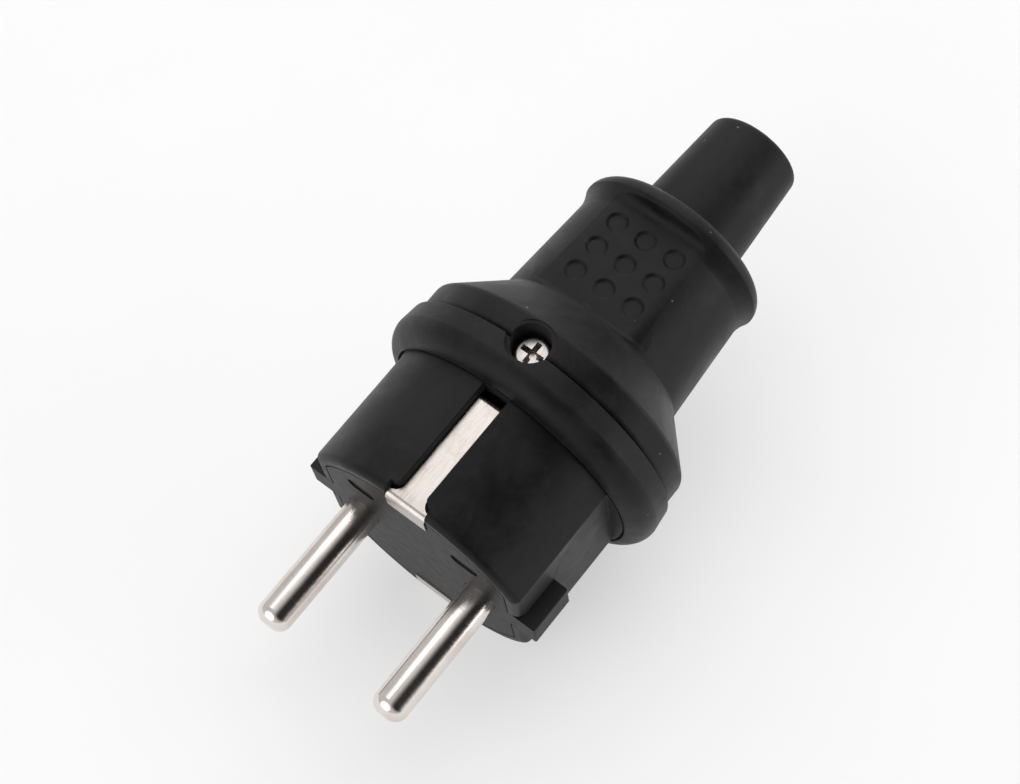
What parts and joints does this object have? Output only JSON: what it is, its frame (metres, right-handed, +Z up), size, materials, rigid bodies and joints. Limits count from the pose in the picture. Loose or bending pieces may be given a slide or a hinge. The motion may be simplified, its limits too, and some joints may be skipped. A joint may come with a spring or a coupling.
{
  "type": "type f plug",
  "caption": "Round earthed mains plug with contact pins, side earth strips, a rubber front shell and a rear cover with flat grips and a cord sleeve.",
  "frame": {"origin": "on the floor under the middle of the plug as it lies", "axes": "+X towards the pins, +Y across the line of the two pins (neutral side), +Z up"},
  "size_m": [0.0904, 0.0424, 0.0419],
  "materials": {
    "shell_rubber": "satin",
    "seal_rubber": "matte",
    "insert_plastic": "matte",
    "nickel_plate": "polished",
    "terminal_brass": "machined",
    "zinc_plated_steel": "plated"
  },
  "bodies": {
    "root": {"front_shell": "shell_rubber", "pin_carrier": "insert_plastic", "line_pin": "nickel_plate", "neutral_pin": "nickel_plate", "line_terminal_screw": "zinc_plated_steel", "neutral_terminal_screw": "zinc_plated_steel", "earth_strap": "nickel_plate", "earth_terminal": "terminal_brass", "earth_washer": "zinc_plated_steel", "earth_terminal_screw": "zinc_plated_steel", "upper_carrier_screw": "zinc_plated_steel", "lower_carrier_screw": "zinc_plated_steel", "rear_cover": "shell_rubber", "upper_housing_screw": "nickel_plate", "lower_housing_screw": "nickel_plate", "upper_housing_nut": "zinc_plated_steel", "lower_housing_nut": "zinc_plated_steel", "housing_seal": "seal_rubber", "cord_clamp": "insert_plastic", "left_clamp_screw": "zinc_plated_steel", "right_clamp_screw": "zinc_plated_steel", "cord_grommet": "seal_rubber"}
  },
  "joints": []
}
